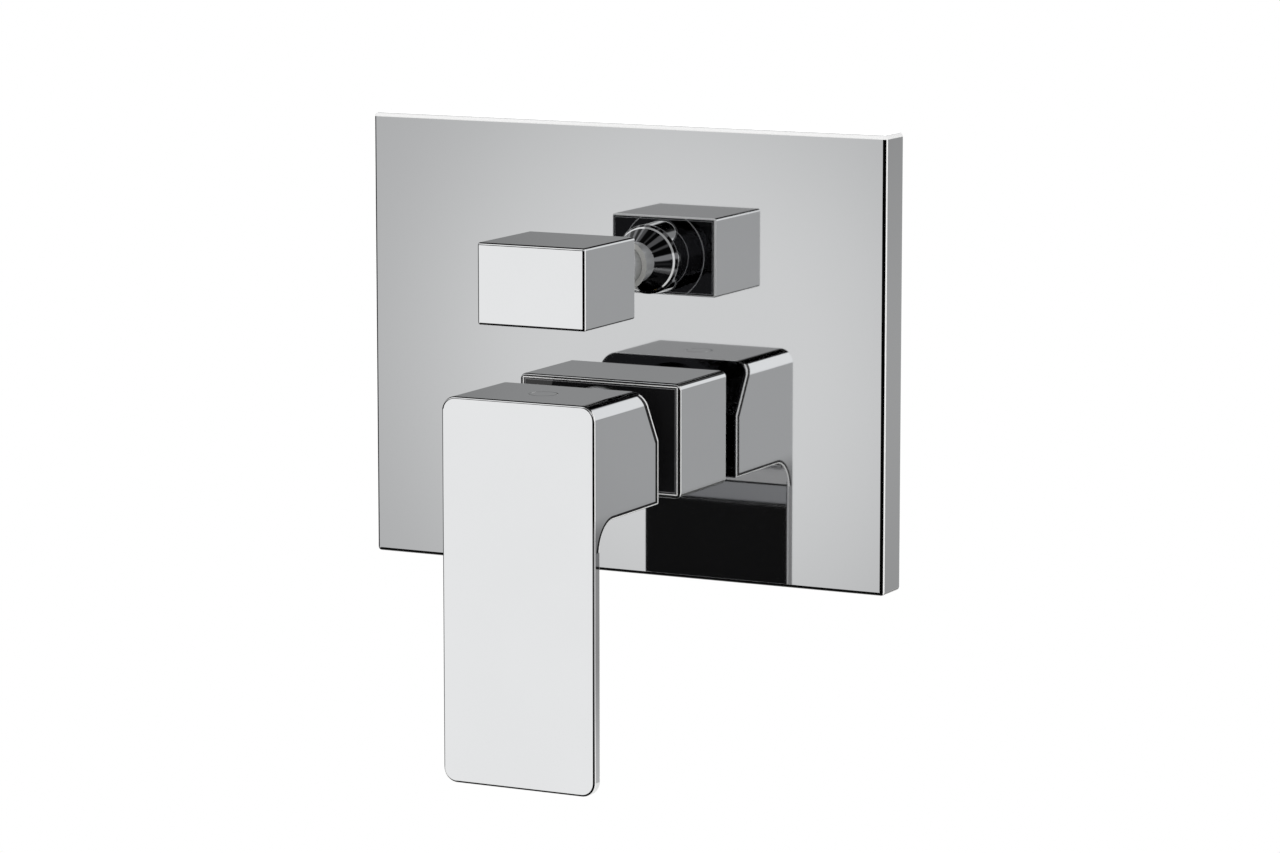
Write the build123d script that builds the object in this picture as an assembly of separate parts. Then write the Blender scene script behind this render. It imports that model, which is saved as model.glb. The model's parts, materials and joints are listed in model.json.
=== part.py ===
from build123d import *
import os

# Concealed shower mixer with a pull-out diverter, in millimetres.
# Pieces are drawn with x to the right, y up and z out of the wall, and turned upright when they are saved.
# Heights in z are measured from the finished wall.

# Wall plate, a shallow pressed tray
plate_width = 180.0
plate_height = 143.0
plate_depth = 12.5
plate_wall = 2.0
plate_edge = 1.2
seal_strip_width = 8.0
seal_strip_thickness = 3.0
grip_ring_wall = 2.0
grip_ring_lip = 1.5
grip_ring_height = 8.0
bushing_wall = 1.8
bushing_flange = 2.2
bushing_flange_height = 1.5
bushing_length = 7.0

# Height of the two chambers above the plate's centre
mixer_y = -25.0
diverter_y = 27.0

# Lever, one casting of hub and hanging blade
hub_width = 52.5
hub_height = 36.4
hub_depth = 43.7
hub_gap = 27.4
lever_length = 120.5
blade_thickness = 3.8
lever_corner = 4.6
slant_depth = 9.8
slant_drop = 16.3
blade_root = 8.6
lever_edge = 0.7
hub_cavity_radius = 16.5
hub_cavity_depth = 12.0
lift_angle = 15.0
swivel_angle = 45.0

# Cap and set screw in the lever's top
cap_radius = 4.4
cap_depth = 1.6
cap_gap = 0.12
cap_chamfer = 0.15
screw_radius = 2.5
screw_length = 9.0
hex_key = 2.5
screw_setback = 17.0
socket_relief = 1.0

# Rectangular sleeve behind the hub
sleeve_width = 56.4
sleeve_height = 36.2
sleeve_reach = 16.5
sleeve_wall = 2.2
sleeve_corner = 2.0
sleeve_edge = 0.7
sleeve_bore = 16.0

# Diverter knob and its turned stem
knob_width = 36.9
knob_height = 25.4
knob_depth = 34.0
knob_gap = 28.2
knob_edge = 0.8
stem_radius = 6.4
stem_straight = 9.0
stem_inner_length = 9.5
stem_round = 0.5
cone_radius = 10.1
cone_length = 6.0
collar_radius = 11.1
collar_flare = 0.5
shoulder_length = 1.5
spigot_radius = 8.0
spigot_length = 10.0
knob_screw_length = 4.0
diverter_travel = 8.0

# Valve body, a brass forging
block_half = 24.0
block_back = -57.0
block_front = -10.0
block_round = 4.0
block_wall = 6.0
block_drop = 26.0
cross_duct_drop = 20.0
neck_collar = 3.0
port_depth = -42.0
inlet_reach = 50.0
outlet_top = 58.0
outlet_bottom = -62.0
port_boss_radius = 13.5
port_radius = 9.3
port_length = 14.0
port_chamfer = 0.8
duct_radius = 5.0
duct_partition = 2.0
side_duct_radius = 3.2
cross_duct_radius = 3.8
side_duct_x = 17.0
front_duct_z = -16.0
mixed_duct_radius = 4.0
mixed_duct_z = -27.0
plug_length = 4.0
lug_x = 34.0
lug_y = 43.0
lug_radius = 7.0
lug_thickness = 6.0
lug_hole_radius = 2.75

# Neck that carries the ceramic cartridge
neck_radius = 14.7
neck_top = 27.0
cartridge_radius = 12.5
cartridge_floor = -3.0
nut_radius = 13.5
nut_depth = 5.0
nut_rise = 2.0
nut_ring_width = 3.15
notch_width = 4.0
notch_depth = 1.5
notch_height = 3.0
sleeve_groove_depth = 1.0
sleeve_groove_half = 1.35
sleeve_groove_setback = 4.0

# Ceramic cartridge
base_flange = 5.0
base_spigot = 3.0
housing_wall = 2.0
disc_thickness = 3.5
driver_thickness = 4.5
moving_disc_radius = 8.0
disc_offset = 2.3
inlet_port_radius = 2.6
inlet_port_x = 5.0
inlet_port_y = -4.0
mixed_port_radius = 3.0
mixed_port_y = 5.0
seal_width = 1.2
base_groove_depth = 1.5
base_groove_rise = 2.8
base_groove_side = 0.1
key_x = 5.6
key_radius = 1.2
key_height = 1.2
channel_radius = 4.2
channel_setback = 1.2
channel_width = 5.0
channel_length = 7.2
turret_radius = 7.5
turret_flange = 3.3
turret_top = 38.0
housing_top = 30.0
stop_ring_height = 2.5
stop_ring_radius = 10.2
stop_lug_half = 3.0
stop_lug_depth = 2.6
stop_lug_angle = 24.0
pin_z = 33.0
pin_radius = 1.5
pin_eye = 3.0
pin_recess = 0.3
tongue_half = 3.0
tongue_thickness = 3.6
ball_radius = 2.3
ball_drop = 17.8
square_size = 7.5
square_start = 40.0

# Domed cover over the cartridge
dome_radius = 15.7
dome_start = 20.0
dome_shoulder = 29.0
dome_top = 39.5
dome_mouth = 8.8
dome_wall = 0.95

# Pull-out diverter
bonnet_mouth = -6.0
bonnet_thread_radius = 11.5
bonnet_thread_length = 6.0
bonnet_boss_radius = 15.0
bonnet_hex = 24.0
bonnet_hex_height = 4.5
bonnet_neck_radius = 7.5
bonnet_neck_height = 2.5
cage_radius = 9.9
cage_wall = 2.0
cage_window = 7.0
front_seat_radius = 6.5
front_seat_z = -20.0
seat_thickness = 2.0
valve_chamber_radius = 9.0
rear_seat_radius = 5.0
washer_radius = 8.2
washer_thickness = 2.0
flange_thickness = 2.0
rod_radius = 4.0
rod_tip_radius = 2.5
rod_grip = 4.0
valve_nut_height = 2.5
gland_groove_depth = 1.6
gland_groove_half = 1.0
bonnet_seal_width = 1.5
bonnet_seal_height = 1.0
upper_gland_drop = 1.5
valve_nut_hex = 7.0

# Clearances
bore_clearance = 0.05
running_clearance = 0.08
ring_ease = 0.02
turret_clearance = 0.2
edge_break = 0.4
match = 0.01

# Heights that follow from the sizes above
plate_face = plate_depth
hub_rear = plate_face + hub_gap
lever_front = hub_rear + hub_depth
blade_rear = lever_front - blade_thickness
hub_top = mixer_y + hub_height / 2
hub_bottom = mixer_y - hub_height / 2
lever_bottom = hub_top - lever_length
cavity_floor = hub_rear + hub_cavity_depth
screw_z = lever_front - screw_setback
spindle_end = screw_z + 2 * screw_radius
sleeve_front = plate_face + sleeve_reach
knob_rear = plate_face + knob_gap
knob_front = knob_rear + knob_depth
stem_start = plate_face - stem_inner_length
cone_start = plate_face + stem_straight
cone_end = cone_start + cone_length
base_top = cartridge_floor + base_flange
fixed_disc_z = base_top + base_spigot
moving_disc_z = fixed_disc_z + disc_thickness
driver_z = moving_disc_z + disc_thickness
turret_z = driver_z + driver_thickness + turret_clearance
turret_shoulder = turret_z + turret_flange
housing_shoulder = turret_shoulder + 2 * turret_clearance
nut_floor = neck_top - nut_depth
nut_top = neck_top + nut_rise
ball_z = pin_z - ball_drop
housing_bore = cartridge_radius - housing_wall
rear_seat_z = front_seat_z - diverter_travel - 2 * washer_thickness - flange_thickness
block_top = diverter_y + cage_radius + block_wall
block_bottom = mixer_y - block_drop
cross_duct_y = mixer_y - cross_duct_drop
spigot_end = knob_rear + spigot_length
knob_screw_z = knob_rear + spigot_length / 2
grip_ring_radius = neck_radius + grip_ring_wall
bushing_radius = stem_radius + bushing_wall
sleeve_groove_z = plate_face + sleeve_groove_setback
sleeve_groove_radius = neck_radius - sleeve_groove_depth
nut_inner_radius = nut_radius - nut_ring_width
base_groove_z = cartridge_floor + base_groove_rise
front_washer_top = rear_seat_z + 2 * washer_thickness + flange_thickness
gland_groove_radius = rod_radius + gland_groove_depth
bonnet_floor = bonnet_mouth - bonnet_thread_length
bonnet_seal_radius = bonnet_thread_radius + bonnet_seal_width
bonnet_hex_top = bonnet_mouth + bonnet_hex_height
bonnet_top = bonnet_hex_top + bonnet_neck_height

BOTTOM = (Align.CENTER, Align.CENTER, Align.MIN)
WALL = Plane(origin=(0, 0, 0), x_dir=(1, 0, 0), z_dir=(0, -1, 0))


# Solid cylinder between two heights
def post(x, y, radius, low, high):
    return Pos(x, y, low) * Cylinder(radius, high - low, align=BOTTOM)


# Ring between two heights
def ring(x, y, outer, inner, low, high):
    return post(x, y, outer, low, high) - post(x, y, inner, low, high)


# Cylinder along x between two places
def cross_post(y, z, radius, left, right):
    return Pos(left, y, z) * Rot(0, 90, 0) * Cylinder(radius, right - left, align=BOTTOM)


# Cylinder along y between two heights
def upright_post(x, z, radius, low, high):
    return Pos(x, low, z) * Rot(-90, 0, 0) * Cylinder(radius, high - low, align=BOTTOM)


# Box given by its centre in x and y and two heights
def block(x, y, width, height, low, high):
    return Pos(x, y, low) * Box(width, height, high - low, align=BOTTOM)


# Box with rounded upright corners
def rounded_block(x, y, width, height, corner, low, high):
    return Pos(x, y, low) * extrude(RectangleRounded(width, height, corner), high - low)


# Hexagonal prism, sized across its flats
def hexagon(x, y, flats, low, high):
    outline = RegularPolygon(flats / 2, 6, major_radius=False)
    return Pos(x, y, low) * extrude(outline, high - low)


# Ring of round section
def oring(x, y, middle_radius, section, z):
    return Pos(x, y, z) * Torus(middle_radius, section / 2)


# Body of revolution from a closed outline of radius and height
def turned(x, y, outline):
    face = make_face(outline)
    return Pos(x, y, 0) * revolve(Plane.XZ * face, Axis.Z)


# Sideways travel of the tongue at a height this far from the pin when the lever is lifted
def swing(distance):
    lifted = Vector(0, 0, distance).rotate(Axis.X, lift_angle)
    return abs(distance * lifted.Y / lifted.Z)


# Edges of the face furthest along z
def front_loop(shape):
    return shape.faces().sort_by(Axis.Z)[-1].edges()


def make_wall_plate():
    shell = block(0, 0, plate_width, plate_height, 0, plate_depth)
    shell = fillet(shell.edges().filter_by(Axis.Z), plate_edge)
    shell = fillet(front_loop(shell), plate_edge)
    inside_width = plate_width - 2 * plate_wall
    inside_height = plate_height - 2 * plate_wall
    shell -= rounded_block(0, 0, inside_width, inside_height, plate_edge, 0, plate_depth - plate_wall)
    shell -= post(0, mixer_y, grip_ring_radius, 0, plate_depth)
    return shell - post(0, diverter_y, bushing_radius, 0, plate_depth)


# Foam strip inside the plate's rim, level with the wall
def make_plate_seal():
    width = plate_width - 2 * (plate_wall + bore_clearance)
    height = plate_height - 2 * (plate_wall + bore_clearance)
    strip = rounded_block(0, 0, width, height, plate_edge, 0, seal_strip_thickness)
    hole_width = width - 2 * seal_strip_width
    hole_height = height - 2 * seal_strip_width
    return strip - rounded_block(0, 0, hole_width, hole_height, plate_edge, 0, seal_strip_thickness)


# Rubber ring that centres the plate on the neck
def make_plate_grip_ring():
    low = plate_depth - grip_ring_height
    body = ring(0, mixer_y, grip_ring_radius, neck_radius, low, plate_depth)
    lip_top = plate_depth - plate_wall
    return body + ring(0, mixer_y, grip_ring_radius + grip_ring_lip, neck_radius, low, lip_top)


# Flanged guide for the stem, in the plate's upper hole
def make_stem_bushing():
    low = plate_depth - bushing_length
    flange_top = plate_depth - plate_wall
    flange_low = flange_top - bushing_flange_height
    inner = stem_radius + running_clearance
    tube = ring(0, diverter_y, bushing_radius, inner, low, plate_depth)
    return tube + ring(0, diverter_y, bushing_radius + bushing_flange, inner, flange_low, flange_top)


# Rectangular sleeve with a round collar inside
def make_handle_sleeve():
    outline = RectangleRounded(sleeve_width, sleeve_height, sleeve_corner)
    shell = Pos(0, mixer_y, plate_face) * extrude(outline, sleeve_reach)
    shell = fillet(front_loop(shell), sleeve_edge)
    pocket_width = sleeve_width - 2 * sleeve_wall
    pocket_height = sleeve_height - 2 * sleeve_wall
    pocket = block(0, mixer_y, pocket_width, pocket_height, plate_face, sleeve_front - sleeve_wall)
    collar = post(0, mixer_y, sleeve_bore + sleeve_wall, plate_face, sleeve_front)
    shell -= pocket - collar
    return shell - post(0, mixer_y, sleeve_bore, plate_face, sleeve_front)


def make_sleeve_oring():
    section = sleeve_bore - sleeve_groove_radius - ring_ease
    middle = (sleeve_bore + sleeve_groove_radius) / 2
    return oring(0, mixer_y, middle, section, sleeve_groove_z)


# Round-shouldered plug shape, used for the cover and for its hollow
def dome_solid(radius, mouth, top):
    outline = [
        Line((0, dome_start), (radius, dome_start)),
        Line((radius, dome_start), (radius, dome_shoulder)),
        TangentArc((radius, dome_shoulder), (mouth, top), tangent=(0, 1)),
        Line((mouth, top), (0, top)),
        Line((0, top), (0, dome_start)),
    ]
    return turned(0, mixer_y, outline)


# Thin domed cover with a round mouth for the spindle
def make_dome_cover():
    cover = dome_solid(dome_radius, dome_mouth, dome_top)
    cover -= dome_solid(dome_radius - dome_wall, dome_mouth - dome_wall, dome_top - dome_wall)
    return cover - post(0, mixer_y, dome_mouth - dome_wall, dome_shoulder, dome_top)


# Side outline of the lever, drawn through the middle of the blade
def lever_side():
    points = [
        (lever_front, hub_top),
        (lever_front, lever_bottom),
        (blade_rear, lever_bottom),
        (blade_rear, hub_bottom),
        (hub_rear, hub_bottom),
        (hub_rear, hub_top - slant_drop),
        (hub_rear + slant_depth, hub_top),
    ]
    face = make_face(Polyline(*points, close=True))
    root = face.vertices().sort_by_distance((blade_rear, hub_bottom, 0))[0]
    return fillet(root, blade_root)


# Edges of the lever that are broken by a small round, without those where curves run into flats
def lever_sharp_edges(shape):
    chosen = []
    for edge in shape.edges():
        middle = edge @ 0.5
        along = edge.tangent_at(0.5)
        on_side = abs(abs(middle.X) - hub_width / 2) < match
        on_underside = abs(middle.Y - hub_bottom) < match
        below_root = abs(middle.Y - hub_bottom + blade_root) < match
        behind_root = abs(middle.Z - blade_rear + blade_root) < match
        if abs(along.Z) > 1 - match and not (on_underside and on_side):
            continue
        if abs(along.X) > 1 - match and (below_root or behind_root):
            continue
        chosen.append(edge)
    return ShapeList(chosen)


def make_lever_handle():
    side = Plane(origin=(hub_width / 2, 0, 0), x_dir=(0, 0, 1), z_dir=(-1, 0, 0))
    body = extrude(side * lever_side(), hub_width)
    outline = RectangleRounded(hub_width, lever_length, lever_corner)
    front = Pos(0, hub_top - lever_length / 2, hub_rear) * extrude(outline, hub_depth)
    lever = body & front
    lever = fillet(lever_sharp_edges(lever), lever_edge)
    lever -= post(0, mixer_y, hub_cavity_radius, hub_rear, cavity_floor)
    socket = square_size + 2 * bore_clearance
    lever -= block(0, mixer_y, socket, socket, cavity_floor, spindle_end + socket_relief)
    lever -= upright_post(0, screw_z, screw_radius, mixer_y, hub_top)
    return lever - upright_post(0, screw_z, cap_radius + cap_gap, hub_top - cap_depth, hub_top)


# Plain flush cap over the set screw
def make_lever_cap():
    cap = upright_post(0, screw_z, cap_radius, hub_top - cap_depth, hub_top)
    return chamfer(cap.edges().sort_by(Axis.Y)[-1], cap_chamfer)


# Set screw with a hexagonal recess
def set_screw():
    body = Cylinder(screw_radius, screw_length, align=BOTTOM)
    body = chamfer(body.edges().filter_by(GeomType.CIRCLE).sort_by(Axis.Z)[0], edge_break)
    return body - hexagon(0, 0, hex_key, screw_length / 2, screw_length)


def make_lever_screw():
    return Pos(0, mixer_y + square_size / 2, screw_z) * Rot(-90, 0, 0) * set_screw()


# Square spindle with a cross hole and a round-ended tongue
def make_lever_spindle():
    tongue = block(0, mixer_y, 2 * tongue_half, tongue_thickness, ball_z, square_start)
    tongue += cross_post(mixer_y, ball_z, ball_radius, -tongue_half, tongue_half)
    tongue += cross_post(mixer_y, pin_z, pin_radius + pin_eye, -tongue_half, tongue_half)
    square = block(0, mixer_y, square_size, square_size, square_start, spindle_end)
    square = chamfer(front_loop(square), 2 * edge_break)
    hole = cross_post(mixer_y, pin_z, pin_radius + bore_clearance, -tongue_half, tongue_half)
    return tongue + square - hole


def make_spindle_pin():
    half = turret_radius - pin_recess
    return cross_post(mixer_y, pin_z, pin_radius, -half, half)


# Turret that turns in the housing and carries the pin, slotted for the spindle's swing
def make_spindle_turret():
    turret = post(0, mixer_y, turret_radius, turret_shoulder, turret_top)
    turret += post(0, mixer_y, housing_bore - turret_clearance, turret_z, turret_shoulder)
    lug_y = mixer_y - turret_radius + turret_clearance
    lug_low = housing_top + turret_clearance
    turret += block(0, lug_y, 2 * stop_lug_half, stop_lug_depth, lug_low, housing_top + stop_ring_height)
    width = 2 * (tongue_half + running_clearance)
    high_slot = 2 * (swing(pin_z - turret_shoulder) + tongue_thickness / 2 + turret_clearance)
    high_slot = max(high_slot, 2 * (pin_radius + pin_eye + turret_clearance))
    low_slot = 2 * (swing(ball_drop) + ball_radius + turret_clearance)
    turret -= block(0, mixer_y, width, high_slot, turret_shoulder, turret_top)
    turret -= block(0, mixer_y, width, low_slot, turret_z, turret_shoulder)
    return turret - cross_post(mixer_y, pin_z, pin_radius, -turret_radius, turret_radius)


# C-shaped ring whose ends stop the turret's lug
def make_stop_ring():
    inner = turret_radius + 2 * turret_clearance
    width = stop_ring_radius - inner
    opening = 2 * (swivel_angle + stop_lug_angle)
    outline = Pos(inner + width / 2, stop_ring_height / 2) * Rectangle(width, stop_ring_height)
    arc = revolve(Plane.XZ * outline, Axis.Z, revolution_arc=360 - opening)
    return Pos(0, mixer_y, housing_top) * Rot(0, 0, opening / 2 - 90) * arc


def make_cartridge_housing():
    housing = post(0, mixer_y, cartridge_radius, base_top, nut_floor)
    housing += post(0, mixer_y, nut_inner_radius - bore_clearance, nut_floor, housing_top)
    housing -= post(0, mixer_y, housing_bore, base_top, housing_shoulder)
    return housing - post(0, mixer_y, turret_radius + running_clearance, housing_shoulder, housing_top)


# Slotted ring nut that clamps the cartridge
def make_cartridge_nut():
    nut = ring(0, mixer_y, nut_radius, nut_inner_radius, nut_floor, nut_top)
    for turn in range(4):
        notch = block(nut_radius, 0, 2 * notch_depth, notch_width, nut_top - notch_height, nut_top)
        nut -= Pos(0, mixer_y, 0) * Rot(0, 0, 90 * turn) * notch
    return nut


# Places and radii of the cartridge's three ports
def cartridge_ports():
    return [
        (-inlet_port_x, inlet_port_y, inlet_port_radius),
        (inlet_port_x, inlet_port_y, inlet_port_radius),
        (0, mixed_port_y, mixed_port_radius),
    ]


def make_cartridge_base():
    base = post(0, mixer_y, cartridge_radius, cartridge_floor, base_top)
    base += post(0, mixer_y, housing_bore - bore_clearance, base_top, fixed_disc_z)
    groove_floor = cartridge_radius - base_groove_depth
    groove_half = base_groove_depth / 2 + base_groove_side
    groove_low = base_groove_z - groove_half
    groove_high = base_groove_z + groove_half
    base -= ring(0, mixer_y, cartridge_radius, groove_floor, groove_low, groove_high)
    for x, y, radius in cartridge_ports():
        base -= post(x, mixer_y + y, radius, cartridge_floor, fixed_disc_z)
        base -= post(x, mixer_y + y, radius + seal_width, cartridge_floor, cartridge_floor + seal_width)
    return base


def make_cartridge_oring():
    outer = cartridge_radius + bore_clearance
    inner = cartridge_radius - base_groove_depth
    return oring(0, mixer_y, (outer + inner) / 2, outer - inner - ring_ease, base_groove_z)


# Three rubber rings under the cartridge's ports
def make_base_seals():
    seals = []
    seal_top = cartridge_floor + seal_width
    for x, y, radius in cartridge_ports():
        seals.append(ring(x, mixer_y + y, radius + seal_width, radius, cartridge_floor, seal_top))
    return Compound(children=seals)


def make_fixed_disc():
    disc = post(0, mixer_y, housing_bore - bore_clearance, fixed_disc_z, moving_disc_z)
    for x, y, radius in cartridge_ports():
        disc -= post(x, mixer_y + y, radius, fixed_disc_z, moving_disc_z)
    return disc


# Sliding disc with the channel that joins the ports
def make_moving_disc():
    middle = mixer_y + disc_offset
    disc = post(0, middle, moving_disc_radius, moving_disc_z, driver_z)
    channel_top = moving_disc_z + disc_thickness / 2
    channel_start = middle - channel_setback
    slot_middle = channel_start + channel_length / 2
    disc -= post(0, channel_start, channel_radius, moving_disc_z, channel_top)
    disc -= block(0, slot_middle, channel_width, channel_length, moving_disc_z, channel_top)
    for x in (-key_x, key_x):
        disc -= post(x, middle, key_radius, driver_z - key_height, driver_z)
    return disc


# Carrier that the tongue pushes, keyed into the sliding disc
def make_disc_driver():
    middle = mixer_y + disc_offset
    driver = post(0, middle, moving_disc_radius, driver_z, driver_z + driver_thickness)
    for x in (-key_x, key_x):
        driver += post(x, middle, key_radius, driver_z - key_height, driver_z)
    pocket_width = 2 * (tongue_half + running_clearance)
    pocket_length = 2 * (ball_radius + 2 * running_clearance)
    pocket_floor = ball_z - ball_radius - running_clearance
    return driver - block(0, mixer_y, pocket_width, pocket_length, pocket_floor, driver_z + driver_thickness)


# Rectangular block with a blind bore at its back
def make_diverter_knob():
    knob = block(0, diverter_y, knob_width, knob_height, knob_rear, knob_front)
    knob = fillet(knob.edges(), knob_edge)
    knob -= post(0, diverter_y, spigot_radius + bore_clearance, knob_rear, spigot_end)
    bottom = diverter_y - knob_height / 2
    return knob - upright_post(0, knob_screw_z, screw_radius, bottom, diverter_y)


def make_knob_screw():
    body = post(0, 0, screw_radius, 0, knob_screw_length)
    body -= hexagon(0, 0, hex_key, knob_screw_length / 2, knob_screw_length)
    return Pos(0, diverter_y - spigot_radius, knob_screw_z) * Rot(90, 0, 0) * body


# Turned stem with a cone, a shoulder and a flared collar
def make_knob_stem():
    points = [
        (rod_radius, stem_start),
        (stem_radius - edge_break, stem_start),
        (stem_radius, stem_start + edge_break),
        (stem_radius, cone_start),
        (cone_radius, cone_end),
        (collar_radius, cone_end + shoulder_length),
        (collar_radius + collar_flare, knob_rear),
        (spigot_radius, knob_rear),
        (spigot_radius, spigot_end),
        (rod_radius, spigot_end),
    ]
    stem = turned(0, diverter_y, Polyline(*points, close=True))
    circles = stem.edges().filter_by(GeomType.CIRCLE)
    shoulder = circles.filter_by_position(Axis.Z, cone_end, cone_end + shoulder_length)
    return fillet(shoulder, stem_round)


# Long rod from the knob to the valve
def make_diverter_rod():
    tip_end = rear_seat_z - valve_nut_height
    rod = post(0, diverter_y, rod_radius, front_washer_top, spigot_end - rod_grip)
    return rod + post(0, diverter_y, rod_tip_radius, tip_end, front_washer_top)


def make_front_washer():
    low = front_washer_top - washer_thickness
    return ring(0, diverter_y, washer_radius, rod_tip_radius, low, front_washer_top)


def make_valve_flange():
    low = rear_seat_z + washer_thickness
    return ring(0, diverter_y, washer_radius, rod_tip_radius, low, low + flange_thickness)


def make_rear_washer():
    return ring(0, diverter_y, washer_radius, rod_tip_radius, rear_seat_z, rear_seat_z + washer_thickness)


def make_valve_nut():
    low = rear_seat_z - valve_nut_height
    nut = hexagon(0, diverter_y, valve_nut_hex, low, rear_seat_z)
    return nut - post(0, diverter_y, rod_tip_radius, low, rear_seat_z)


# Heights of the two ring grooves in the bonnet's bore
def gland_heights():
    return [bonnet_mouth - bonnet_thread_length / 2, bonnet_hex_top - upper_gland_drop]


# Screwed-in guide with a windowed cage and the front seat
def make_diverter_bonnet():
    bonnet = post(0, diverter_y, bonnet_thread_radius, bonnet_floor, bonnet_mouth)
    bonnet += hexagon(0, diverter_y, bonnet_hex, bonnet_mouth, bonnet_hex_top)
    bonnet += post(0, diverter_y, bonnet_neck_radius, bonnet_hex_top, bonnet_top)
    bonnet += post(0, diverter_y, cage_radius, front_seat_z, bonnet_floor)
    window_low = front_seat_z + seat_thickness
    bonnet -= post(0, diverter_y, cage_radius - cage_wall, window_low, bonnet_floor)
    bonnet -= post(0, diverter_y, front_seat_radius, front_seat_z, bonnet_floor)
    for angle in (0, 90):
        window = block(0, 0, 3 * cage_radius, cage_window, window_low, bonnet_floor)
        bonnet -= Pos(0, diverter_y, 0) * Rot(0, 0, angle) * window
    bonnet -= post(0, diverter_y, rod_radius + running_clearance, front_seat_z, bonnet_top)
    for z in gland_heights():
        bonnet -= post(0, diverter_y, gland_groove_radius, z - gland_groove_half, z + gland_groove_half)
    return bonnet


# Two rubber rings on the rod, inside the bonnet
def make_rod_orings():
    inner = rod_radius + bore_clearance
    section = gland_groove_radius - inner - ring_ease
    middle = (gland_groove_radius + inner) / 2
    return Compound(children=[oring(0, diverter_y, middle, section, z) for z in gland_heights()])


# Flat sealing ring under the bonnet's hexagon
def make_bonnet_seal():
    low = bonnet_mouth - bonnet_seal_height
    return ring(0, diverter_y, bonnet_seal_radius, bonnet_thread_radius, low, bonnet_mouth)


# Port boss with eight flats along an axis, its mouth at reach
def port_boss(length):
    boss = extrude(RegularPolygon(port_boss_radius, 8, major_radius=False), length)
    return chamfer(front_loop(boss), port_chamfer)


# Places where the four port bosses start, turned to point outwards
def port_frames():
    side = Rot(0, 90, 0)
    return [
        (Pos(-block_half, mixer_y, port_depth) * Rot(0, -90, 0), inlet_reach - block_half),
        (Pos(block_half, mixer_y, port_depth) * side, inlet_reach - block_half),
        (Pos(0, block_top, port_depth) * Rot(-90, 0, 0), outlet_top - block_top),
        (Pos(0, block_bottom, port_depth) * Rot(90, 0, 0), block_bottom - outlet_bottom),
    ]


# Outside of the forging
def body_outside():
    height = block_top - block_bottom
    middle = (block_top + block_bottom) / 2
    body = block(0, middle, 2 * block_half, height, block_back, block_front)
    body = fillet(body.edges(), block_round)
    for frame, length in port_frames():
        body += frame * Pos(0, 0, -block_round) * port_boss(length + block_round)
    for x in (-lug_x, lug_x):
        for y in (-lug_y, lug_y):
            inward = x / 2
            body += post(x, y, lug_radius, block_back, block_back + lug_thickness)
            body += block(inward, y, abs(x), 2 * lug_radius, block_back, block_back + lug_thickness)
    body += post(0, mixer_y, neck_radius, block_front - block_round, neck_top)
    body += post(0, mixer_y, neck_radius + neck_collar, block_front - block_round, block_front + neck_collar)
    return body + post(0, diverter_y, bonnet_boss_radius, block_front - block_round, bonnet_mouth)


# Bores for the cartridge and its ports
def mixing_bores():
    chamber = post(0, mixer_y, cartridge_radius + bore_clearance, cartridge_floor, neck_top)
    chamber += post(0, mixer_y, nut_radius, nut_floor, neck_top)
    low = [port_depth, port_depth, mixed_duct_z]
    for (x, y, radius), depth in zip(cartridge_ports(), low):
        chamber += post(x, mixer_y + y, radius, depth, cartridge_floor)
    mixed_y = mixer_y + mixed_port_y
    return chamber + upright_post(0, mixed_duct_z, mixed_duct_radius, mixed_y, diverter_y)


# Bores for the diverter, its two seats and the bonnet
def diverter_bores():
    bore = post(0, diverter_y, bonnet_thread_radius, bonnet_floor, bonnet_mouth)
    bore += post(0, diverter_y, bonnet_seal_radius, bonnet_mouth - bonnet_seal_height, bonnet_mouth)
    bore += post(0, diverter_y, cage_radius + bore_clearance, front_seat_z, bonnet_floor)
    bore += post(0, diverter_y, valve_chamber_radius, rear_seat_z, front_seat_z)
    return bore + post(0, diverter_y, rear_seat_radius, port_depth, rear_seat_z)


# Ducts from the ports inwards, with the threaded mouths
def port_ducts():
    ducts = cross_post(mixer_y, port_depth, duct_radius, duct_partition, inlet_reach)
    ducts += cross_post(mixer_y, port_depth, duct_radius, -inlet_reach, -duct_partition)
    ducts += upright_post(0, port_depth, duct_radius, diverter_y, outlet_top)
    ducts += upright_post(0, port_depth, duct_radius, outlet_bottom, cross_duct_y + duct_partition)
    ducts += cross_post(mixer_y, port_depth, port_radius, inlet_reach - port_length, inlet_reach)
    ducts += cross_post(mixer_y, port_depth, port_radius, -inlet_reach, port_length - inlet_reach)
    ducts += upright_post(0, port_depth, port_radius, outlet_top - port_length, outlet_top)
    return ducts + upright_post(0, port_depth, port_radius, outlet_bottom, outlet_bottom + port_length)


# Drillings that lead the front of the diverter down to the lower outlet
def transfer_ducts():
    ducts = cross_post(diverter_y, front_duct_z, cross_duct_radius, -block_half, block_half)
    ducts += cross_post(cross_duct_y, front_duct_z, cross_duct_radius, -block_half, block_half)
    for x in (-side_duct_x, side_duct_x):
        ducts += upright_post(x, front_duct_z, side_duct_radius, block_bottom, diverter_y)
    return ducts + post(0, cross_duct_y, side_duct_radius, port_depth, front_duct_z)


def make_valve_body():
    body = body_outside()
    body -= mixing_bores()
    body -= diverter_bores()
    body -= port_ducts()
    body -= transfer_ducts()
    groove_low = sleeve_groove_z - sleeve_groove_half
    groove_high = sleeve_groove_z + sleeve_groove_half
    body -= ring(0, mixer_y, neck_radius, sleeve_groove_radius, groove_low, groove_high)
    for x in (-lug_x, lug_x):
        for y in (-lug_y, lug_y):
            body -= post(x, y, lug_hole_radius, block_back, block_back + lug_thickness)
    return body


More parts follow.
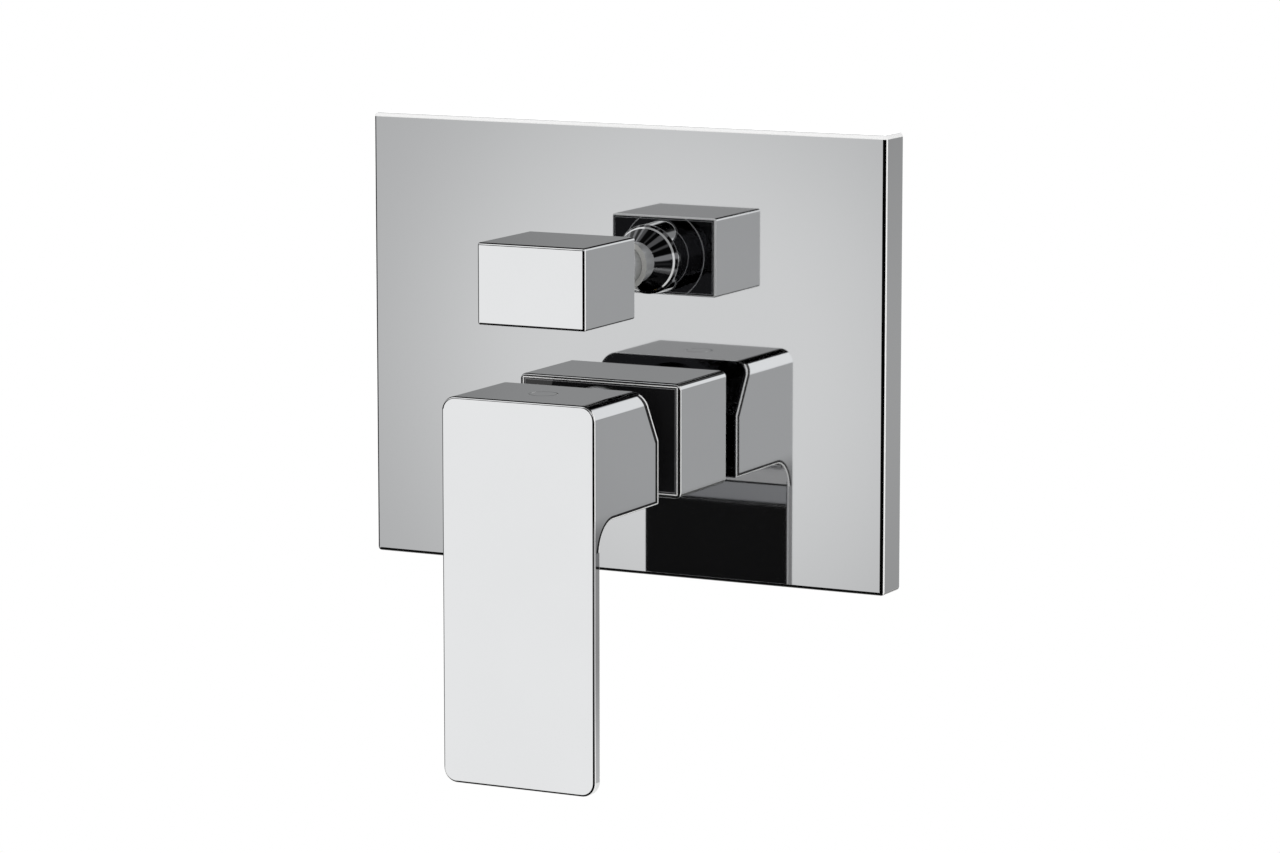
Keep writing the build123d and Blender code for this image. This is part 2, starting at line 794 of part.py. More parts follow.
# Plugs in the ends of the six drillings
def make_duct_plugs():
    plugs = []
    for y in (diverter_y, cross_duct_y):
        plugs.append(cross_post(y, front_duct_z, cross_duct_radius, block_half - plug_length, block_half))
        plugs.append(cross_post(y, front_duct_z, cross_duct_radius, -block_half, plug_length - block_half))
    for x in (-side_duct_x, side_duct_x):
        top = block_bottom + plug_length
        plugs.append(upright_post(x, front_duct_z, side_duct_radius, block_bottom, top))
    return Compound(children=plugs)


pieces = {
    "wall_plate": make_wall_plate,
    "plate_seal": make_plate_seal,
    "plate_grip_ring": make_plate_grip_ring,
    "stem_bushing": make_stem_bushing,
    "handle_sleeve": make_handle_sleeve,
    "sleeve_oring": make_sleeve_oring,
    "dome_cover": make_dome_cover,
    "lever_handle": make_lever_handle,
    "lever_cap": make_lever_cap,
    "lever_screw": make_lever_screw,
    "lever_spindle": make_lever_spindle,
    "spindle_pin": make_spindle_pin,
    "spindle_turret": make_spindle_turret,
    "stop_ring": make_stop_ring,
    "cartridge_housing": make_cartridge_housing,
    "cartridge_nut": make_cartridge_nut,
    "cartridge_base": make_cartridge_base,
    "cartridge_oring": make_cartridge_oring,
    "base_seals": make_base_seals,
    "fixed_disc": make_fixed_disc,
    "moving_disc": make_moving_disc,
    "disc_driver": make_disc_driver,
    "diverter_knob": make_diverter_knob,
    "knob_screw": make_knob_screw,
    "knob_stem": make_knob_stem,
    "diverter_rod": make_diverter_rod,
    "front_washer": make_front_washer,
    "valve_flange": make_valve_flange,
    "rear_washer": make_rear_washer,
    "valve_nut": make_valve_nut,
    "diverter_bonnet": make_diverter_bonnet,
    "rod_orings": make_rod_orings,
    "bonnet_seal": make_bonnet_seal,
    "valve_body": make_valve_body,
    "duct_plugs": make_duct_plugs,
}

os.makedirs("parts", exist_ok=True)
for name, make in pieces.items():
    export_step(WALL.location * make(), f"parts/{name}.step")
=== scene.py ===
import json
import math
import bmesh
import bpy
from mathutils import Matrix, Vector, noise


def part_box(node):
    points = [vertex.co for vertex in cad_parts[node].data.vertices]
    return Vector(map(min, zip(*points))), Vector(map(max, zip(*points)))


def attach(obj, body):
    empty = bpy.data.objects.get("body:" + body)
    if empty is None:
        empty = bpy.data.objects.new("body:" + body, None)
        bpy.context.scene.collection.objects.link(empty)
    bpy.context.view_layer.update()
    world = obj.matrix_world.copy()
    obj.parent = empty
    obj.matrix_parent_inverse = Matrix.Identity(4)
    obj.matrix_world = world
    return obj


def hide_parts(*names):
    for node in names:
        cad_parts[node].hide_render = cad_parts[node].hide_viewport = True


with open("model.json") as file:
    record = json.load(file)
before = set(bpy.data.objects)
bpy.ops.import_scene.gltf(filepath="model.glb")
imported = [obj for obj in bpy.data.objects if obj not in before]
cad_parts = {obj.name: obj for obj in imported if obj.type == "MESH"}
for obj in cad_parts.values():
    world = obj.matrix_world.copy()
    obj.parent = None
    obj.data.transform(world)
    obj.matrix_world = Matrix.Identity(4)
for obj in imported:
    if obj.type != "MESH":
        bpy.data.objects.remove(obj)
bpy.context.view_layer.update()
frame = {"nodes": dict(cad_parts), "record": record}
print("frame loaded with", len(frame["nodes"]), "pieces")

scene = bpy.context.scene
millimetre = 0.001


# sRGB hex to the linear colour that the shaders want
def hexColour(code):
    channels = [int(code[start:start + 2], 16) / 255 for start in (1, 3, 5)]
    linear = [c / 12.92 if c <= 0.04045 else ((c + 0.055) / 1.055) ** 2.4 for c in channels]
    return (*linear, 1.0)


# Adds a node, with its settings by attribute or input name, and its links by input
def addNode(tree, kind, settings=None, links=None):
    node = tree.nodes.new(kind)
    for key, value in (settings or {}).items():
        if isinstance(key, int) or key in node.inputs:
            node.inputs[key].default_value = value
        else:
            setattr(node, key, value)
    for key, source in (links or {}).items():
        tree.links.new(source, node.inputs[key])
    return node


# Camera: where the photograph was taken from, in degrees and millimetres
cameraView = {
    "azimuth": 26.72,
    "elevation": 8.83,
    "distance": 1542.1,
    "target": (-0.45, 0.0, -26.2),
    "lens": 136.1,
    "sensor": 36.0,
}


def placeCamera():
    azimuth = math.radians(cameraView["azimuth"])
    elevation = math.radians(cameraView["elevation"])
    back = Vector((
        math.sin(azimuth) * math.cos(elevation),
        -math.cos(azimuth) * math.cos(elevation),
        math.sin(elevation),
    ))
    data = bpy.data.cameras.new("camera")
    data.lens = cameraView["lens"]
    data.sensor_width = cameraView["sensor"]
    camera = bpy.data.objects.new("camera", data)
    scene.collection.objects.link(camera)
    target = Vector(cameraView["target"]) * millimetre
    camera.location = target + back * cameraView["distance"] * millimetre
    camera.rotation_euler = (-back).to_track_quat("-Z", "Y").to_euler()
    scene.camera = camera


placeCamera()
print("camera placed")

# Studio: softboxes and dark flags by direction from the mixer, in degrees, glow 1 being white
# Azimuth 0 is straight out of the wall and grows to the right
studio = {
    "backdrop": 1.0,
    "softFill": 1.0,
    "upperRoom": 0.41,
    "lowerRoom": 0.5,
    "horizonBlend": 8.0,
    "cards": [
        {"azimuth": -44, "elevation": -24, "width": 46, "height": 42, "edge": 4, "glow": 0.93},
        {"azimuth": 100, "elevation": -4, "width": 80, "height": 40, "edge": 6, "glow": 0.9},
        {"azimuth": -6, "elevation": 4.5, "width": 22, "height": 17, "edge": 3, "glow": 0.85},
        {"azimuth": 1, "elevation": -9, "width": 40, "height": 8.5, "edge": 2, "glow": 0.62},
        {"azimuth": 26.5, "elevation": -9, "width": 11, "height": 9, "edge": 2, "glow": 0.57},
        {"azimuth": 52, "elevation": -9, "width": 40, "height": 7.5, "edge": 3, "glow": 0.55},
        {"azimuth": 119, "elevation": -9, "width": 46, "height": 14, "edge": 4, "glow": 1.15},
        {"azimuth": -105, "elevation": -9, "width": 90, "height": 9, "edge": 4, "glow": 0.03},
        {"azimuth": -160, "elevation": -16, "width": 60, "height": 22, "edge": 4, "glow": 0.018},
        {"azimuth": -152, "elevation": 9.5, "width": 30, "height": 11, "edge": 3, "glow": 1.6},
        {"azimuth": -40, "elevation": 36, "width": 50, "height": 44, "edge": 4, "glow": 1.1},
        {"azimuth": -10, "elevation": 23, "width": 26, "height": 18, "edge": 3, "glow": 0.0},
        {"azimuth": 19, "elevation": 12, "width": 30, "height": 30, "edge": 2, "glow": 1.25},
        {"azimuth": -128, "elevation": 52, "width": 44, "height": 20, "edge": 4, "glow": 0.0},
    ],
}


# 1 inside a span of degrees about a middle, falling to 0 over its edge
def spanMask(tree, angle, middle, width, edge):
    offset = addNode(tree, "ShaderNodeMath", {"operation": "SUBTRACT", 1: middle}, {0: angle})
    wrapped = addNode(
        tree, "ShaderNodeMath", {"operation": "WRAP", 1: 180.0, 2: -180.0}, {0: offset.outputs[0]},
    )
    away = addNode(tree, "ShaderNodeMath", {"operation": "ABSOLUTE"}, {0: wrapped.outputs[0]})
    settings = {
        "interpolation_type": "SMOOTHSTEP",
        "From Min": (width - edge) / 2,
        "From Max": (width + edge) / 2,
        "To Min": 1.0,
        "To Max": 0.0,
    }
    return addNode(
        tree, "ShaderNodeMapRange", settings, {"Value": away.outputs[0]},
    ).outputs["Result"]


def lightStudio():
    world = bpy.data.worlds.new("studio")
    scene.world = world
    world.use_nodes = True
    tree = world.node_tree
    tree.nodes.clear()
    place = addNode(tree, "ShaderNodeTexCoord")
    axes = addNode(tree, "ShaderNodeSeparateXYZ", links={0: place.outputs["Generated"]})
    ahead = addNode(
        tree, "ShaderNodeMath", {"operation": "MULTIPLY", 1: -1.0}, {0: axes.outputs["Y"]},
    )
    turn = addNode(
        tree, "ShaderNodeMath", {"operation": "ARCTAN2"},
        {0: axes.outputs["X"], 1: ahead.outputs[0]},
    )
    azimuth = addNode(
        tree, "ShaderNodeMath", {"operation": "DEGREES"}, {0: turn.outputs[0]},
    ).outputs[0]
    rise = addNode(tree, "ShaderNodeMath", {"operation": "ARCSINE"}, {0: axes.outputs["Z"]})
    elevation = addNode(
        tree, "ShaderNodeMath", {"operation": "DEGREES"}, {0: rise.outputs[0]},
    ).outputs[0]
    blend = studio["horizonBlend"] / 2
    settings = {
        "interpolation_type": "SMOOTHSTEP",
        "From Min": -blend,
        "From Max": blend,
        "To Min": studio["lowerRoom"],
        "To Max": studio["upperRoom"],
    }
    light = addNode(tree, "ShaderNodeMapRange", settings, {"Value": elevation}).outputs["Result"]
    for card in studio["cards"]:
        across = spanMask(tree, azimuth, card["azimuth"], card["width"], card["edge"])
        upright = spanMask(tree, elevation, card["elevation"], card["height"], card["edge"])
        mask = addNode(tree, "ShaderNodeMath", {"operation": "MULTIPLY"}, {0: across, 1: upright})
        links = {"Factor": mask.outputs[0], "A": light}
        light = addNode(tree, "ShaderNodeMix", {"B": card["glow"]}, links).outputs["Result"]
    ray = addNode(tree, "ShaderNodeLightPath")
    links = {"Factor": ray.outputs["Is Glossy Ray"], "B": light}
    seen = addNode(tree, "ShaderNodeMix", {"A": studio["softFill"]}, links)
    links = {"Factor": ray.outputs["Is Camera Ray"], "A": seen.outputs["Result"]}
    shown = addNode(tree, "ShaderNodeMix", {"B": studio["backdrop"]}, links)
    white = {"Color": (1.0, 1.0, 1.0, 1.0)}
    background = addNode(tree, "ShaderNodeBackground", white, {"Strength": shown.outputs["Result"]})
    addNode(tree, "ShaderNodeOutputWorld", links={"Surface": background.outputs["Background"]})
    scene.view_settings.view_transform = "Standard"


lightStudio()
print("studio lit with", len(studio["cards"]), "cards")


# Nearly all of the patches' noise lies between these two levels
patchLevels = (0.3, 0.7)


# A material from a look: tone and roughness drift between two values, under a fine grain
# Sizes and heights are in millimetres, and every pattern is fixed to the piece
def newFinish(name, look):
    material = bpy.data.materials.new(name)
    material.use_nodes = True
    tree = material.node_tree
    tree.nodes.clear()
    settings = {"Metallic": look.get("metallic", 0.0)}
    if "ior" in look:
        settings["IOR"] = look["ior"]
    shader = addNode(tree, "ShaderNodeBsdfPrincipled", settings)
    addNode(tree, "ShaderNodeOutputMaterial", links={"Surface": shader.outputs["BSDF"]})
    place = addNode(tree, "ShaderNodeTexCoord")
    patches = addNode(
        tree, "ShaderNodeTexNoise", {"Scale": 1 / (look["patch"] * millimetre), "Detail": 3.0},
        {"Vector": place.outputs["Object"]},
    )
    tones = {"data_type": "RGBA", 6: hexColour(look["colour"]), 7: hexColour(look["second"])}
    tone = addNode(tree, "ShaderNodeMix", tones, {0: patches.outputs["Fac"]})
    tree.links.new(tone.outputs[2], shader.inputs["Base Color"])
    (least, most), (low, high) = patchLevels, look["roughness"]
    settings = {"From Min": least, "From Max": most, "To Min": low, "To Max": high}
    sheen = addNode(tree, "ShaderNodeMapRange", settings, {"Value": patches.outputs["Fac"]})
    tree.links.new(sheen.outputs["Result"], shader.inputs["Roughness"])
    grain = addNode(
        tree, "ShaderNodeTexNoise", {"Scale": 1 / (look["grain"] * millimetre), "Detail": 2.0},
        {"Vector": place.outputs["Object"]},
    )
    bump = addNode(
        tree, "ShaderNodeBump", {"Strength": 1.0, "Distance": look["grainHeight"] * millimetre},
        {"Height": grain.outputs["Fac"]},
    )
    tree.links.new(bump.outputs["Normal"], shader.inputs["Normal"])
    parts = {
        "tree": tree, "shader": shader, "place": place,
        "tone": tone, "sheen": sheen, "bump": bump,
    }
    return material, parts


# Floor: a plain pale disc well below the mixer
floor = {
    "drop": 600.0,
    "radius": 1500.0,
    "segments": 96,
    "paint": {
        "colour": "#F2F2F0", "second": "#ECECEA", "roughness": (0.85, 0.95),
        "patch": 90.0, "grain": 2.0, "grainHeight": 0.05,
    },
}


def layFloor():
    mesh = bpy.data.meshes.new("floor")
    form = bmesh.new()
    radius = floor["radius"] * millimetre
    bmesh.ops.create_circle(form, cap_ends=True, segments=floor["segments"], radius=radius)
    form.to_mesh(mesh)
    form.free()
    disc = bpy.data.objects.new("floor", mesh)
    disc.location.z = -floor["drop"] * millimetre
    scene.collection.objects.link(disc)
    disc.data.materials.append(newFinish("floorPaintMatt", floor["paint"])[0])


layFloor()
print("floor laid")

# Axes of the two controls, where they cross the wall, in millimetres
controls = {"mixer": -25.0, "diverter": 27.0}


# Distance from the axis of one control, in metres
def axisDistance(tree, place, height):
    centred = addNode(
        tree, "ShaderNodeVectorMath", {"operation": "SUBTRACT", 1: (0.0, 0.0, height * millimetre)},
        {0: place.outputs["Object"]},
    )
    level = addNode(
        tree, "ShaderNodeVectorMath", {"operation": "MULTIPLY", 1: (1.0, 0.0, 1.0)},
        {0: centred.outputs[0]},
    )
    return addNode(
        tree, "ShaderNodeVectorMath", {"operation": "LENGTH"}, {0: level.outputs[0]},
    ).outputs["Value"]


# Settings of a soft step, to which each use adds its two limits
softStep = {"interpolation_type": "SMOOTHSTEP"}


# Lays a second tone over the first where a mask is 1
def overlay(parts, mask, colour):
    tree = parts["tree"]
    tones = {"data_type": "RGBA", 7: hexColour(colour)}
    layer = addNode(tree, "ShaderNodeMix", tones, {0: mask, 6: parts["tone"].outputs[2]})
    tree.links.new(layer.outputs[2], parts["shader"].inputs["Base Color"])
    parts["tone"] = layer


# Takes the metal out of a finish where a mask is 1, which leaves its tone as a dull paint
def matten(parts, mask):
    tree, shader = parts["tree"], parts["shader"]
    metal = shader.inputs["Metallic"]
    links = {"Factor": mask}
    if metal.is_linked:
        links["A"] = metal.links[0].from_socket
    duller = addNode(tree, "ShaderNodeMix", {"A": metal.default_value, "B": 0.0}, links)
    tree.links.new(duller.outputs["Result"], metal)


# Chrome plating over buffed castings: a clear neutral mirror, faintly rippled by the wheel
chrome = {
    "look": {
        "colour": "#EDEEEF", "second": "#E9EAEB", "metallic": 1.0, "roughness": (0.02, 0.035),
        "patch": 35.0, "grain": 16.0, "grainHeight": 0.0009,
    },
    "backShadeTone": "#ADADAF",       # painted shade on the faces that look at the wall
    "backTurn": (0.4, 0.6),      # how squarely such a face looks at it, 1 being full on
    "deepShadeTone": "#242426",       # painted deeper shade in the recesses
}

# Painted reflections along each small rounded edge, standing in for what buffed chrome shows there:
# a dark painted reflection line on its front, upper and lower side, a painted highlight on its
# right and rear side. The limits are shares of the surface's direction, 1 being full on, so a line
# follows its edge wherever the part moves
edgeReflectionLines = {
    # dark painted reflection line
    "tone": "#050505",
    "begin": 0.996,              # dark from just off the flat face
    "end": 0.55,                 # to about halfway round
    "soft": 0.03,
    "upperPull": -1.5,           # the front line thins out where the edge turns up
    "leftPull": -0.25,           # and grows a little on the left
    "sidePull": 0.27,            # the lower line grows on upright edges
    "lean": 0.1,                 # less than this counts as not turned that way at all
    # painted highlight
    "highlightTone": "#F4F4F4",
    "lightEnd": 0.02,            # painted highlight from the dark line's end to the side face
    "right": 0.75,               # only on edges that look this far to the right
    "rear": (0.15, 0.6),         # and where an edge turns towards the wall
    "level": -0.1,               # unless it looks down
    "crest": (0.05, 0.95),       # span of the plate's painted highlight along its upper edge
}


# For the handle, behind is the level in millimetres past which the lower line runs, and its big
# corners get no upper line. For the plate, the top flag turns the upper line into a painted
# highlight
def paintEdgeReflections(parts, behind=None, highlightTop=False):
    tree, place = parts["tree"], parts["place"]
    begin, end, soft, lean = [edgeReflectionLines[key] for key in ("begin", "end", "soft", "lean")]
    facing = addNode(tree, "ShaderNodeSeparateXYZ", links={0: place.outputs["Normal"]})
    ahead = addNode(
        tree, "ShaderNodeMath", {"operation": "MULTIPLY", 1: -1.0}, {0: facing.outputs["Y"]},
    )
    upper = addNode(
        tree, "ShaderNodeMath", {"operation": "MAXIMUM", 1: 0.0}, {0: facing.outputs["Z"]},
    )
    lefts = addNode(
        tree, "ShaderNodeMath", {"operation": "MINIMUM", 1: 0.0}, {0: facing.outputs["X"]},
    )
    front = addNode(
        tree, "ShaderNodeMath", {"operation": "MULTIPLY_ADD", 1: edgeReflectionLines["upperPull"]},
        {0: upper.outputs[0], 2: ahead.outputs[0]},
    )
    outline = addNode(
        tree, "ShaderNodeMath", {"operation": "MULTIPLY_ADD", 1: edgeReflectionLines["leftPull"]},
        {0: lefts.outputs[0], 2: front.outputs[0]},
    )
    beside = addNode(tree, "ShaderNodeMath", {"operation": "ABSOLUTE"}, {0: facing.outputs["X"]})
    under = addNode(
        tree, "ShaderNodeMath", {"operation": "MULTIPLY", 1: -1.0}, {0: facing.outputs["Z"]},
    )
    lower = addNode(
        tree, "ShaderNodeMath", {"operation": "MULTIPLY_ADD", 1: edgeReflectionLines["sidePull"]},
        {0: beside.outputs[0], 2: under.outputs[0]},
    )
    sideways = addNode(
        tree, "ShaderNodeMath", {"operation": "GREATER_THAN", 1: lean}, {0: beside.outputs[0]},
    )
    bottom = addNode(
        tree, "ShaderNodeMath", {"operation": "MULTIPLY"},
        {0: lower.outputs[0], 1: sideways.outputs[0]},
    )
    top = upper
    if behind is not None:
        across = addNode(
            tree, "ShaderNodeMath", {"operation": "ABSOLUTE"}, {0: facing.outputs["Y"]},
        )
        sharp = addNode(
            tree, "ShaderNodeMath", {"operation": "GREATER_THAN", 1: lean}, {0: across.outputs[0]},
        )
        top = addNode(
            tree, "ShaderNodeMath", {"operation": "MULTIPLY"},
            {0: upper.outputs[0], 1: sharp.outputs[0]},
        )
        axes = addNode(tree, "ShaderNodeSeparateXYZ", links={0: place.outputs["Object"]})
        hub = addNode(
            tree, "ShaderNodeMath", {"operation": "GREATER_THAN", 1: behind * millimetre},
            {0: axes.outputs["Y"]},
        )
        bottom = addNode(
            tree, "ShaderNodeMath", {"operation": "MULTIPLY"},
            {0: bottom.outputs[0], 1: hub.outputs[0]},
        )
    raised = addNode(
        tree, "ShaderNodeMath", {"operation": "MAXIMUM"},
        {0: outline.outputs[0], 1: top.outputs[0]},
    )
    measure = addNode(
        tree, "ShaderNodeMath", {"operation": "MAXIMUM"},
        {0: raised.outputs[0], 1: bottom.outputs[0]},
    )
    inside = addNode(
        tree, "ShaderNodeMapRange", {**softStep, "From Min": end - soft, "From Max": end + soft},
        {"Value": measure.outputs[0]},
    )
    flat = addNode(
        tree, "ShaderNodeMath", {"operation": "LESS_THAN", 1: begin}, {0: measure.outputs[0]},
    )
    line = addNode(
        tree, "ShaderNodeMath", {"operation": "MULTIPLY"},
        {0: inside.outputs["Result"], 1: flat.outputs[0]},
    )
    if highlightTop:
        low = addNode(
            tree, "ShaderNodeMath", {"operation": "LESS_THAN", 1: lean}, {0: upper.outputs[0]},
        )
        line = addNode(
            tree, "ShaderNodeMath", {"operation": "MULTIPLY"},
            {0: line.outputs[0], 1: low.outputs[0]},
        )
    # Dark painted reflection along the edges
    overlay(parts, line.outputs[0], edgeReflectionLines["tone"])

    # Painted highlight on right edges past the dark line, on edges turned towards the wall, and
    # along the plate's upper edge
    past = addNode(
        tree, "ShaderNodeMath", {"operation": "LESS_THAN", 1: end}, {0: ahead.outputs[0]},
    )
    before = addNode(
        tree, "ShaderNodeMath", {"operation": "GREATER_THAN", 1: edgeReflectionLines["lightEnd"]},
        {0: ahead.outputs[0]},
    )
    span = addNode(
        tree, "ShaderNodeMath", {"operation": "MULTIPLY"},
        {0: past.outputs[0], 1: before.outputs[0]},
    )
    right = addNode(
        tree, "ShaderNodeMath", {"operation": "GREATER_THAN", 1: edgeReflectionLines["right"]},
        {0: facing.outputs["X"]},
    )
    light = addNode(
        tree, "ShaderNodeMath", {"operation": "MULTIPLY"},
        {0: span.outputs[0], 1: right.outputs[0]},
    )
    first, last = edgeReflectionLines["rear"]
    turned = addNode(
        tree, "ShaderNodeMath",
        {"operation": "COMPARE", 1: (first + last) / 2, 2: (last - first) / 2},
        {0: facing.outputs["Y"]},
    )
    level = addNode(
        tree, "ShaderNodeMath", {"operation": "GREATER_THAN", 1: edgeReflectionLines["level"]},
        {0: facing.outputs["Z"]},
    )
    rear = addNode(
        tree, "ShaderNodeMath", {"operation": "MULTIPLY"},
        {0: turned.outputs[0], 1: level.outputs[0]},
    )
    light = addNode(
        tree, "ShaderNodeMath", {"operation": "MAXIMUM"},
        {0: light.outputs[0], 1: rear.outputs[0]},
    )
    if highlightTop:
        first, last = edgeReflectionLines["crest"]
        crest = addNode(
            tree, "ShaderNodeMath",
            {"operation": "COMPARE", 1: (first + last) / 2, 2: (last - first) / 2},
            {0: upper.outputs[0]},
        )
        light = addNode(
            tree, "ShaderNodeMath", {"operation": "MAXIMUM"},
            {0: light.outputs[0], 1: crest.outputs[0]},
        )
    overlay(parts, light.outputs[0], edgeReflectionLines["highlightTone"])
    matten(parts, light.outputs[0])


# Lines that follow an outline: start and end inward from it, in millimetres, tone, and whether dull
def drawLines(parts, inset, face, lines):
    tree = parts["tree"]
    for start, end, tone, dull in lines:
        middle = (start + end) / 2 * millimetre
        half = (end - start) / 2 * millimetre
        off = addNode(tree, "ShaderNodeMath", {"operation": "SUBTRACT", 1: middle}, {0: inset})
        away = addNode(tree, "ShaderNodeMath", {"operation": "ABSOLUTE"}, {0: off.outputs[0]})
        within = addNode(
            tree, "ShaderNodeMath", {"operation": "LESS_THAN", 1: half}, {0: away.outputs[0]},
        )
        line = addNode(
            tree, "ShaderNodeMath", {"operation": "MULTIPLY"}, {0: within.outputs[0], 1: face},
        )
        overlay(parts, line.outputs[0], tone)
        if dull:
            matten(parts, line.outputs[0])


# Distance inward from a rectangle about one control's axis, in metres
def rectangleInset(tree, place, half, height):
    axes = addNode(tree, "ShaderNodeSeparateXYZ", links={0: place.outputs["Object"]})
    across = addNode(tree, "ShaderNodeMath", {"operation": "ABSOLUTE"}, {0: axes.outputs["X"]})
    raised = addNode(
        tree, "ShaderNodeMath", {"operation": "SUBTRACT", 1: height * millimetre},
        {0: axes.outputs["Z"]},
    )
    upright = addNode(tree, "ShaderNodeMath", {"operation": "ABSOLUTE"}, {0: raised.outputs[0]})
    insets = [
        addNode(
            tree, "ShaderNodeMath", {"operation": "SUBTRACT", 0: limit * millimetre},
            {1: reach.outputs[0]},
        )
        for limit, reach in zip(half, (across, upright))
    ]
    links = {0: insets[0].outputs[0], 1: insets[1].outputs[0]}
    return addNode(tree, "ShaderNodeMath", {"operation": "MINIMUM"}, links).outputs[0]


# Polished chrome with its painted edge reflections, and painted shade on the faces that look at the
# wall
def castChrome(name, behind=None):
    material, parts = newFinish(name, chrome["look"])
    paintEdgeReflections(parts, behind)
    tree, place = parts["tree"], parts["place"]
    facing = addNode(tree, "ShaderNodeSeparateXYZ", links={0: place.outputs["Normal"]})
    # Painted shade where a face looks at the wall
    low, high = chrome["backTurn"]
    back = addNode(
        tree, "ShaderNodeMapRange", {**softStep, "From Min": low, "From Max": high},
        {"Value": facing.outputs["Y"]},
    ).outputs["Result"]
    overlay(parts, back, chrome["backShadeTone"])
    return material, parts, facing, back


# Back of the diverter's block: painted deep shade, with a painted light circle round the stem and
# painted highlight lines along its rim
knobBack = {
    "circle": [(14.3, 14.6, "#B8B8BA", True)],
    "half": (18.45, 12.7),       # half its width and height
    "lines": [(0.0, 0.55, "#F4F4F4", True), (0.95, 1.15, "#A0A0A2", True)],
}


def knobChrome(name):
    material, parts, facing, back = castChrome(name)
    # Painted deep shade over the back, then a painted light circle and painted rim lines
    overlay(parts, back, chrome["deepShadeTone"])
    tree, place = parts["tree"], parts["place"]
    circle = axisDistance(tree, place, controls["diverter"])
    drawLines(parts, circle, back, knobBack["circle"])
    inset = rectangleInset(tree, place, knobBack["half"], controls["diverter"])
    drawLines(parts, inset, back, knobBack["lines"])
    return material


# Handle: a painted dark reflection band where its top rolls over on the right, painted shade on the
# blade's sides near the hub, and painted dark and highlight lines on the hub's sides along their
# rear outline
handleMarks = {
    # painted dark reflection
    "darkReflectionTone": "#2C2C2E",
    "band": (21.75, 24.7),       # from the middle towards the right
    "bandTurn": 0.6,             # only where the surface looks this far up
    "sideTurn": 0.6,             # a flank looks at least this far to the side
    # painted shade on the blade's sides
    "shadeTone": "#B0B0B1",
    "shadeBelow": (-130.0, -80.0),     # heights over which the shade comes in
    "shadeAbove": (-40.0, -48.0),      # and over which it ends
    "slantTop": (0.0, -49.7, -6.8),    # a place on the hub's slanted back, and the way in
    "slantInward": (0.0, -0.857, -0.515),
    "rear": -39.9,
    "rootCentre": (0.0, -71.2, -51.8),  # arc where the hub's underside meets the blade
    "rootRadius": 8.6,
    # painted dark line and painted highlight along the hub's rear outline
    "lines": [(1.1, 2.6, "#0A0A0B", False), (0.45, 1.1, "#F4F4F4", True)],
    "bladeBack": -79.3,          # depths between which the painted deep shade comes in
    "hubFront": -70.5,
    "cavity": 17.2,              # radius of the recess in the hub's back, which gets the painted deep shade
    "cavityFloor": -55.0,
}


# Distance inward from the hub's rear outline as its side shows it: slant, rear edge and root arc
def hubInset(tree, place, axes):
    slantTop = Vector(handleMarks["slantTop"]) * millimetre
    fromTop = addNode(
        tree, "ShaderNodeVectorMath", {"operation": "SUBTRACT", 1: slantTop},
        {0: place.outputs["Object"]},
    )
    slant = addNode(
        tree, "ShaderNodeVectorMath",
        {"operation": "DOT_PRODUCT", 1: handleMarks["slantInward"]}, {0: fromTop.outputs[0]},
    )
    rearGap = addNode(
        tree, "ShaderNodeMath", {"operation": "SUBTRACT", 0: handleMarks["rear"] * millimetre},
        {1: axes.outputs["Y"]},
    )
    root = Vector(handleMarks["rootCentre"]) * millimetre
    fromRoot = addNode(
        tree, "ShaderNodeVectorMath", {"operation": "SUBTRACT", 1: root},
        {0: place.outputs["Object"]},
    )
    ahead = addNode(
        tree, "ShaderNodeVectorMath", {"operation": "MULTIPLY", 1: (0.0, -1.0, 1.0)},
        {0: fromRoot.outputs[0]},
    )
    outer = addNode(
        tree, "ShaderNodeVectorMath", {"operation": "MAXIMUM", 1: (0.0, 0.0, 0.0)},
        {0: ahead.outputs[0]},
    )
    spread = addNode(
        tree, "ShaderNodeVectorMath", {"operation": "LENGTH"}, {0: outer.outputs[0]},
    )
    rootGap = addNode(
        tree, "ShaderNodeMath",
        {"operation": "SUBTRACT", 1: handleMarks["rootRadius"] * millimetre},
        {0: spread.outputs["Value"]},
    )
    course = addNode(
        tree, "ShaderNodeVectorMath", {"operation": "NORMALIZE"}, {0: outer.outputs[0]},
    )
    rise = addNode(tree, "ShaderNodeSeparateXYZ", links={0: course.outputs[0]})
    # The lines come out up to twice as thin where the arc turns level
    stretch = addNode(
        tree, "ShaderNodeMath", {"operation": "ADD", 1: 1.0}, {0: rise.outputs["Z"]},
    )
    under = addNode(
        tree, "ShaderNodeMath", {"operation": "MULTIPLY"},
        {0: rootGap.outputs[0], 1: stretch.outputs[0]},
    )
    back = addNode(
        tree, "ShaderNodeMath", {"operation": "MINIMUM"},
        {0: slant.outputs["Value"], 1: rearGap.outputs[0]},
    )
    links = {0: back.outputs[0], 1: under.outputs[0]}
    return addNode(tree, "ShaderNodeMath", {"operation": "MINIMUM"}, links).outputs[0]


